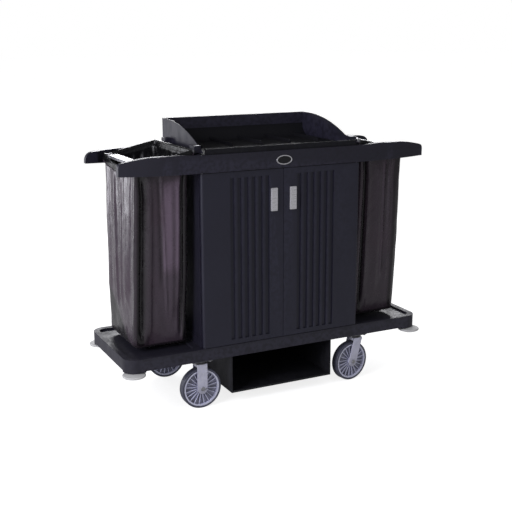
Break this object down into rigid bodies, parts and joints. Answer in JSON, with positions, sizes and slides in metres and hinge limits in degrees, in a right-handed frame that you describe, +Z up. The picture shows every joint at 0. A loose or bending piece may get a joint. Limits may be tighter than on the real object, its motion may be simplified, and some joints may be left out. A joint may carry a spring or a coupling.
{
  "type": "housekeeping cart",
  "caption": "Hotel housekeeping cart with a two-door cabinet, hooded organiser tray, linen bags at both ends and an open bin under the deck, on casters.",
  "frame": {"origin": "on the floor below the middle of the cart, centre of the bounding box's base", "axes": "+X along the cart's length to the right, -Y towards the doors, +Z up"},
  "size_m": [1.548, 0.588, 1.27],
  "materials": {
    "black_plastic": "moulded black plastic, fine grain, soft sheen",
    "door_plastic": "moulded charcoal plastic, fine grain",
    "vinyl": "dark wrinkled coated vinyl, semi-gloss",
    "steel": "zinc plated steel",
    "coated_black": "glossy black powder coat",
    "fork_grey": "light grey powder coat",
    "hub_blue": "blue-grey moulded nylon",
    "tyre_grey": "non-marking grey rubber",
    "bumper_grey": "pale grey non-marking rubber",
    "silver": "satin silver"
  },
  "bodies": {
    "cart": {"base_deck": "black_plastic", "under_bin": "black_plastic", "cabinet_side_left": "black_plastic", "cabinet_side_right": "black_plastic", "cabinet_back": "black_plastic", "shelf_lower": "black_plastic", "shelf_upper": "black_plastic", "top_tray": "black_plastic", "hood": "black_plastic", "rail_front": "black_plastic", "rail_rear": "black_plastic", "frame_hooks_left": "black_plastic", "frame_hooks_right": "black_plastic", "door_catches": "black_plastic", "bin_screws": "steel", "shelf_pegs": "steel", "corner_brackets": "steel", "hood_screws": "steel", "rail_screws": "steel", "emblem_plate": "black_plastic", "emblem_rim": "silver", "bag_frame_left": "coated_black", "bag_frame_right": "coated_black", "bag_clips": "steel", "bag_left": "vinyl", "bag_right": "vinyl", "door_hinge_pins": "steel", "rigid_plates": "coated_black", "rigid_fork_front": "fork_grey", "rigid_fork_rear": "fork_grey", "rigid_axles": "steel", "swivel_plates": "coated_black", "kingpins": "steel", "caster_bolts": "steel", "bumper_bolts": "steel"},
    "door_left": {"door_panel_left": "door_plastic", "door_handle_left": "silver", "door_strike_left": "steel"},
    "door_right": {"door_panel_right": "door_plastic", "door_handle_right": "silver", "door_strike_right": "steel"},
    "swivel_front": {"swivel_fork_front": "fork_grey", "swivel_axle_front": "steel"},
    "swivel_rear": {"swivel_fork_rear": "fork_grey", "swivel_axle_rear": "steel"},
    "wheel_left_front": {"hub_left_front": "hub_blue", "tyre_left_front": "tyre_grey", "bush_left_front": "steel"},
    "wheel_left_rear": {"hub_left_rear": "hub_blue", "tyre_left_rear": "tyre_grey", "bush_left_rear": "steel"},
    "wheel_right_front": {"hub_right_front": "hub_blue", "tyre_right_front": "tyre_grey", "bush_right_front": "steel"},
    "wheel_right_rear": {"hub_right_rear": "hub_blue", "tyre_right_rear": "tyre_grey", "bush_right_rear": "steel"},
    "bumper_left_front": {"bumper_left_front": "bumper_grey"},
    "bumper_left_rear": {"bumper_left_rear": "bumper_grey"},
    "bumper_right_front": {"bumper_right_front": "bumper_grey"},
    "bumper_right_rear": {"bumper_right_rear": "bumper_grey"}
  },
  "joints": [
    {"name": "door_left_hinge", "type": "hinge", "parent": "cart", "child": "door_left", "pos_m": [-0.389, -0.251, 0.68], "axis": [0, 0, -1], "range_deg": [0, 115]},
    {"name": "door_right_hinge", "type": "hinge", "parent": "cart", "child": "door_right", "pos_m": [0.389, -0.251, 0.68], "axis": [0, 0, 1], "range_deg": [0, 115]},
    {"name": "swivel_front_turn", "type": "hinge", "parent": "cart", "child": "swivel_front", "pos_m": [0.42, -0.219, 0.205], "axis": [0, 0, 1], "continuous": true},
    {"name": "swivel_rear_turn", "type": "hinge", "parent": "cart", "child": "swivel_rear", "pos_m": [0.42, 0.219, 0.205], "axis": [0, 0, 1], "continuous": true},
    {"name": "wheel_left_front_spin", "type": "hinge", "parent": "cart", "child": "wheel_left_front", "pos_m": [-0.402, -0.219, 0.095], "axis": [0, 1, 0], "continuous": true},
    {"name": "wheel_left_rear_spin", "type": "hinge", "parent": "cart", "child": "wheel_left_rear", "pos_m": [-0.402, 0.219, 0.095], "axis": [0, 1, 0], "continuous": true},
    {"name": "wheel_right_front_spin", "type": "hinge", "parent": "swivel_front", "child": "wheel_right_front", "pos_m": [0.38831, -0.22345, 0.095], "axis": [-0.1392, 0.9903, 0], "continuous": true},
    {"name": "wheel_right_rear_spin", "type": "hinge", "parent": "swivel_rear", "child": "wheel_right_rear", "pos_m": [0.388, 0.219, 0.095], "axis": [0, 1, 0], "continuous": true},
    {"name": "bumper_left_front_spin", "type": "hinge", "parent": "cart", "child": "bumper_left_front", "pos_m": [-0.722, -0.242, 0.2125], "axis": [0, 0, 1], "continuous": true},
    {"name": "bumper_left_rear_spin", "type": "hinge", "parent": "cart", "child": "bumper_left_rear", "pos_m": [-0.722, 0.242, 0.2125], "axis": [0, 0, 1], "continuous": true},
    {"name": "bumper_right_front_spin", "type": "hinge", "parent": "cart", "child": "bumper_right_front", "pos_m": [0.722, -0.242, 0.2125], "axis": [0, 0, 1], "continuous": true},
    {"name": "bumper_right_rear_spin", "type": "hinge", "parent": "cart", "child": "bumper_right_rear", "pos_m": [0.722, 0.242, 0.2125], "axis": [0, 0, 1], "continuous": true}
  ]
}
